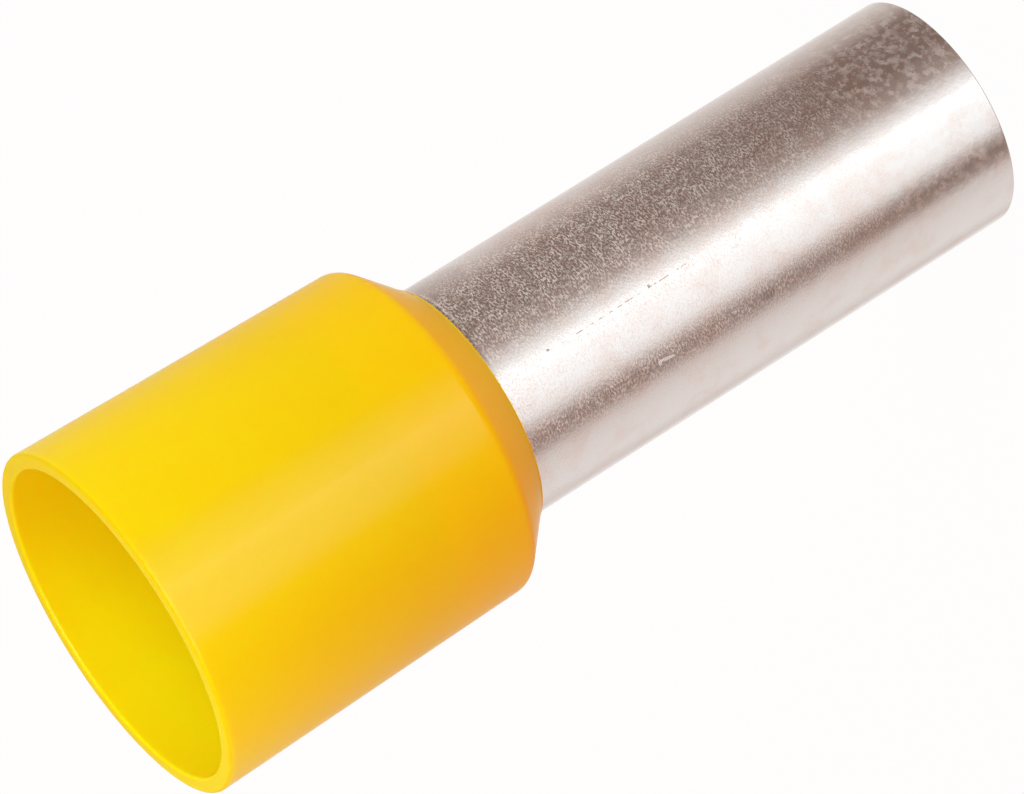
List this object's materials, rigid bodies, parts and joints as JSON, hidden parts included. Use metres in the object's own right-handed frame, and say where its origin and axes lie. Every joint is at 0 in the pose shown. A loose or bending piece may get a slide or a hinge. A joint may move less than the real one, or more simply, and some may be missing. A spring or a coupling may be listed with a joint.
{
  "type": "wire ferrule",
  "caption": "Insulated end sleeve for a stranded wire: a thin tinned copper tube, flared inside a yellow plastic collar, to be crimped round the bare strands.",
  "frame": {"origin": "centre of the metal sleeve's free end, on the surface that the ferrule stands on", "axes": "+Z along the axis, from the sleeve's free end to the collar's mouth, where the wire goes in"},
  "size_m": [0.0116, 0.0116, 0.0315],
  "materials": {
    "tinned_copper": "tin plated copper, satin, with a fine crystal speckle",
    "yellow_plastic": "moulded polypropylene, smooth and half glossy"
  },
  "bodies": {
    "root": {"tinned_copper_sleeve": "tinned_copper", "insulating_collar": "yellow_plastic"}
  },
  "joints": []
}
